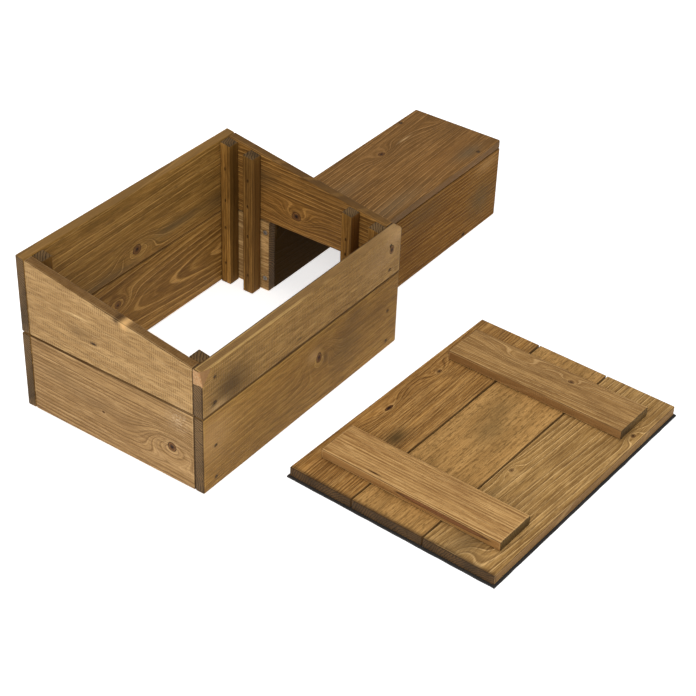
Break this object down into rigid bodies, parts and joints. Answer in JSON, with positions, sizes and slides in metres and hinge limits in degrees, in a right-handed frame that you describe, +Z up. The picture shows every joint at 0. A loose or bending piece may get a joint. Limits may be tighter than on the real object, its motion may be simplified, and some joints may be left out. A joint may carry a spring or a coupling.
{
  "type": "small animal shelter box",
  "caption": "Bottomless board-built shelter box with a one-way sloping top, an outside entrance tunnel on one end, and a loose felted lid lying upside down beside it.",
  "frame": {"origin": "bottom centre of the whole model's box on the ground, chamber, tunnel and the lid beside it together", "axes": "+X runs along the shelter from the closed end to the tunnel's mouth, +Y from the low front wall to the high rear wall, +Z up"},
  "size_m": [0.808, 0.7046, 0.2385],
  "materials": {
    "wall_wood": "stained softwood, sawn, satin",
    "end_wood": "stained softwood with fine cross saw marks",
    "post_wood": "stained softwood batten",
    "tunnel_wood": "stained softwood, dark parallel grain",
    "lid_wood": "stained softwood, smooth",
    "batten_wood": "lighter stained softwood",
    "felt": "mineral-faced bitumen roofing felt, matt",
    "nail_steel": "dull sunk nails",
    "screw_zinc": "zinc-plated countersunk screws"
  },
  "bodies": {
    "box": {"closed_end_board_lower": "end_wood", "closed_end_board_upper": "end_wood", "corner_post_closed_front": "post_wood", "corner_post_closed_rear": "post_wood", "corner_post_entrance_front": "post_wood", "corner_post_entrance_rear": "post_wood", "entrance_end_board_upper": "end_wood", "entrance_post_front": "post_wood", "entrance_post_rear": "post_wood", "entrance_stub_front": "end_wood", "entrance_stub_rear": "end_wood", "front_board_lower": "wall_wood", "front_board_upper": "wall_wood", "nail_front_closed_lower_1": "nail_steel", "nail_front_closed_lower_2": "nail_steel", "nail_front_closed_upper_1": "nail_steel", "nail_front_closed_upper_2": "nail_steel", "nail_front_entrance_lower_1": "nail_steel", "nail_front_entrance_lower_2": "nail_steel", "nail_front_entrance_upper_1": "nail_steel", "nail_front_entrance_upper_2": "nail_steel", "nail_rear_closed_lower_1": "nail_steel", "nail_rear_closed_lower_2": "nail_steel", "nail_rear_closed_upper_1": "nail_steel", "nail_rear_closed_upper_2": "nail_steel", "nail_rear_entrance_lower_1": "nail_steel", "nail_rear_entrance_lower_2": "nail_steel", "nail_rear_entrance_upper_1": "nail_steel", "nail_rear_entrance_upper_2": "nail_steel", "nail_tunnel_front_1": "nail_steel", "nail_tunnel_front_2": "nail_steel", "nail_tunnel_rear_1": "nail_steel", "nail_tunnel_rear_2": "nail_steel", "rear_board_lower": "wall_wood", "rear_board_upper": "wall_wood", "screw_stub_front_1": "screw_zinc", "screw_stub_front_2": "screw_zinc", "screw_stub_rear_1": "screw_zinc", "screw_stub_rear_2": "screw_zinc", "tunnel_side_front": "tunnel_wood", "tunnel_side_rear": "tunnel_wood", "tunnel_top": "tunnel_wood"},
    "lid": {"lid_batten_far": "batten_wood", "lid_batten_near": "batten_wood", "lid_board_front": "lid_wood", "lid_board_middle": "lid_wood", "lid_board_rear": "lid_wood", "roofing_felt": "felt"}
  },
  "joints": [
    {"name": "lid_lift", "type": "slide", "parent": "box", "child": "lid", "axis": [0, 0, 1], "range_m": [0, 0.3]}
  ]
}
